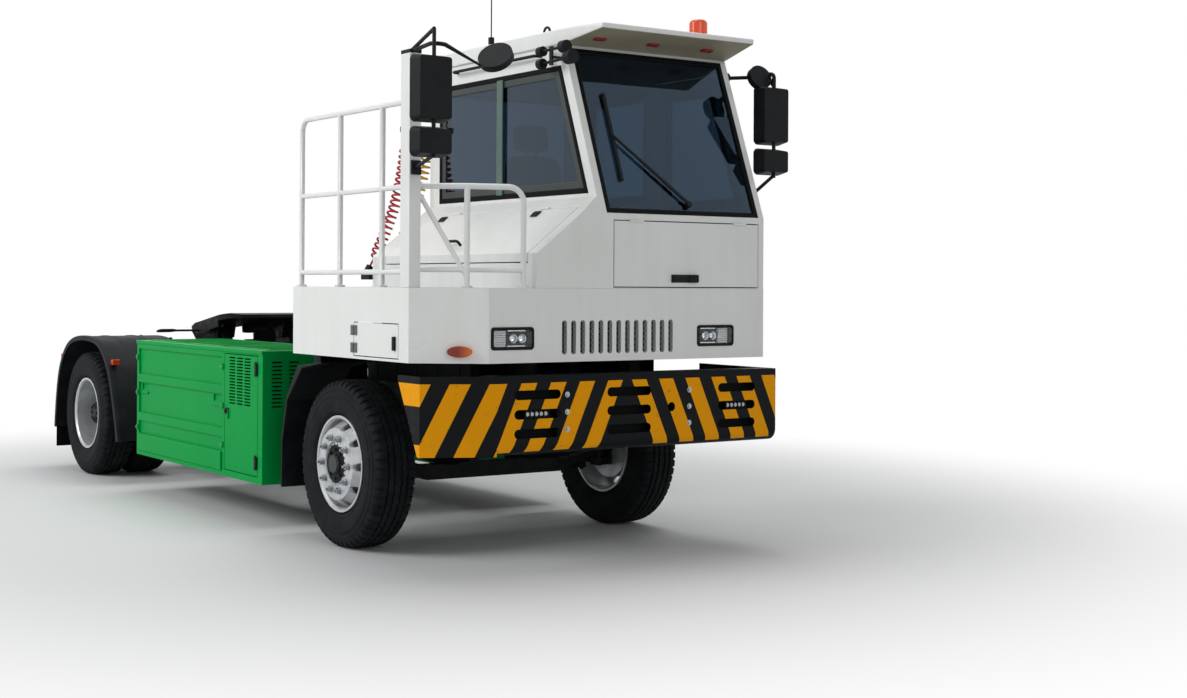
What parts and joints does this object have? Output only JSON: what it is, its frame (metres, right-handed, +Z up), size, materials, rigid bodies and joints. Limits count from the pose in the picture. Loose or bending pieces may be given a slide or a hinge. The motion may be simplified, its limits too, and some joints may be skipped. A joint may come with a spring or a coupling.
{
  "type": "electric terminal tractor",
  "caption": "Electric terminal tractor with a half cab on the left, a railed walkway on the right, green battery boxes and a fifth wheel",
  "frame": {"origin": "on the ground under the middle of the overall box", "axes": "+X forward, +Y to the vehicle's left, +Z up"},
  "size_m": [6.8202, 2.82, 3.7198],
  "materials": {
    "white_paint": "gloss",
    "green_paint": "satin",
    "stripe_paint": "satin",
    "black_paint": "satin",
    "grey_paint": "satin",
    "bare_steel": "brushed",
    "motor_alloy": "cast",
    "wheel_silver": "satin",
    "tyre_rubber": "matte",
    "black_plastic": "matte",
    "tinted_glass": "gloss",
    "mirror_silver": "polished",
    "lamp_clear": "gloss",
    "lamp_amber": "gloss",
    "seat_fabric": "matte",
    "red_hose": "gloss",
    "yellow_hose": "gloss"
  },
  "bodies": {
    "chassis": {"ladder_frame": "black_paint", "front_bumper": "stripe_paint", "front_apron": "white_paint", "platform_deck": "bare_steel", "cab_floor": "grey_paint", "cab_front": "white_paint", "cab_right_side": "white_paint", "cab_left_side": "white_paint", "cab_rear": "white_paint", "cab_roof": "white_paint", "windscreen": "tinted_glass", "cab_glass": "tinted_glass", "dashboard": "black_plastic", "driver_seat": "seat_fabric", "steering_wheel": "black_plastic", "battery_boxes": "green_paint", "battery_packs": "grey_paint", "front_axle_beam": "black_paint", "leaf_springs": "black_paint", "rear_axle": "black_paint", "drive_motor": "motor_alloy", "body_mounts": "black_paint", "fifth_wheel_stand": "black_paint", "rear_fenders": "black_plastic", "front_fenders": "black_plastic", "side_railing": "white_paint", "front_railing": "white_paint", "mirror_post": "white_paint", "mirrors_right": "black_plastic", "mirrors_left": "black_plastic", "mirror_glass": "mirror_silver", "head_lamps": "lamp_clear", "signal_lamps": "lamp_amber", "beacon": "lamp_amber", "roof_fittings": "black_plastic", "work_lamps": "black_plastic", "wiper": "black_plastic", "hose_couplings": "black_plastic", "red_hose": "red_hose", "yellow_hose": "yellow_hose"},
    "fifth_wheel": {"fifth_wheel_plate": "black_paint"},
    "steer_left": {"knuckle_left": "black_paint"},
    "steer_right": {"knuckle_right": "black_paint"},
    "track_rod": {"tie_rod": "black_paint"},
    "wheel_front_left": {"tyre_front_left": "tyre_rubber", "rim_front_left": "wheel_silver"},
    "wheel_front_right": {"tyre_front_right": "tyre_rubber", "rim_front_right": "wheel_silver"},
    "wheels_rear_left": {"tyres_rear_left": "tyre_rubber", "rims_rear_left": "wheel_silver"},
    "wheels_rear_right": {"tyres_rear_right": "tyre_rubber", "rims_rear_right": "wheel_silver"},
    "driver_door": {"cab_door": "white_paint", "door_glass": "tinted_glass"},
    "nose_hatch": {"front_hatch": "white_paint"},
    "shoulder_hatch": {"side_hatch": "white_paint"},
    "charge_flap": {"skirt_flap": "white_paint"},
    "box_door_left": {"battery_door_left": "green_paint"},
    "box_door_right": {"battery_door_right": "green_paint"}
  },
  "joints": [
    {"name": "steer_left", "type": "hinge", "parent": "chassis", "child": "steer_left", "pos_m": [1.94, 0.87, 0.522], "axis": [0, 0, 1], "range_deg": [-38, 38]},
    {"name": "steer_right", "type": "hinge", "parent": "chassis", "child": "steer_right", "pos_m": [1.94, -0.87, 0.522], "axis": [0, 0, 1], "range_deg": [-38, 38]},
    {"name": "track_rod", "type": "hinge", "parent": "steer_left", "child": "track_rod", "pos_m": [1.75, 0.87, 0.392], "axis": [0, 0, 1], "range_deg": [-38, 38]},
    {"name": "spin_front_left", "type": "hinge", "parent": "steer_left", "child": "wheel_front_left", "pos_m": [1.94, 1.012, 0.522], "axis": [0, 1, 0], "continuous": true},
    {"name": "spin_front_right", "type": "hinge", "parent": "steer_right", "child": "wheel_front_right", "pos_m": [1.94, -1.012, 0.522], "axis": [0, 1, 0], "continuous": true},
    {"name": "spin_rear_left", "type": "hinge", "parent": "chassis", "child": "wheels_rear_left", "pos_m": [-2.58, 0.9, 0.522], "axis": [0, 1, 0], "continuous": true},
    {"name": "spin_rear_right", "type": "hinge", "parent": "chassis", "child": "wheels_rear_right", "pos_m": [-2.58, -0.9, 0.522], "axis": [0, 1, 0], "continuous": true},
    {"name": "fifth_wheel_tilt", "type": "hinge", "parent": "chassis", "child": "fifth_wheel", "pos_m": [-1.76, 0, 1.216], "axis": [0, 1, 0], "range_deg": [-3, 21]},
    {"name": "driver_door", "type": "hinge", "parent": "chassis", "child": "driver_door", "pos_m": [3.107, 1.197, 1.675], "axis": [0, 0, -1], "range_deg": [0, 75]},
    {"name": "nose_hatch", "type": "hinge", "parent": "chassis", "child": "nose_hatch", "pos_m": [3.243, 0.574, 2.025], "axis": [0, -1, 0], "range_deg": [0, 80]},
    {"name": "shoulder_hatch", "type": "hinge", "parent": "chassis", "child": "shoulder_hatch", "pos_m": [2.3025, -0.19365, 2.10576], "axis": [-1, 0, 0], "range_deg": [0, 70]},
    {"name": "charge_flap", "type": "hinge", "parent": "chassis", "child": "charge_flap", "pos_m": [2.334, -1.256, 1.313], "axis": [0, 0, -1], "range_deg": [0, 110]},
    {"name": "box_door_left", "type": "hinge", "parent": "chassis", "child": "box_door_left", "pos_m": [0.918, 1.227, 0.745], "axis": [0, 0, -1], "range_deg": [0, 105]},
    {"name": "box_door_right", "type": "hinge", "parent": "chassis", "child": "box_door_right", "pos_m": [0.918, -1.227, 0.745], "axis": [0, 0, 1], "range_deg": [0, 105]}
  ],
  "couplings": [
    {"joint": "steer_right", "follows": "steer_left", "ratio": 1},
    {"joint": "track_rod", "follows": "steer_left", "ratio": -1}
  ]
}
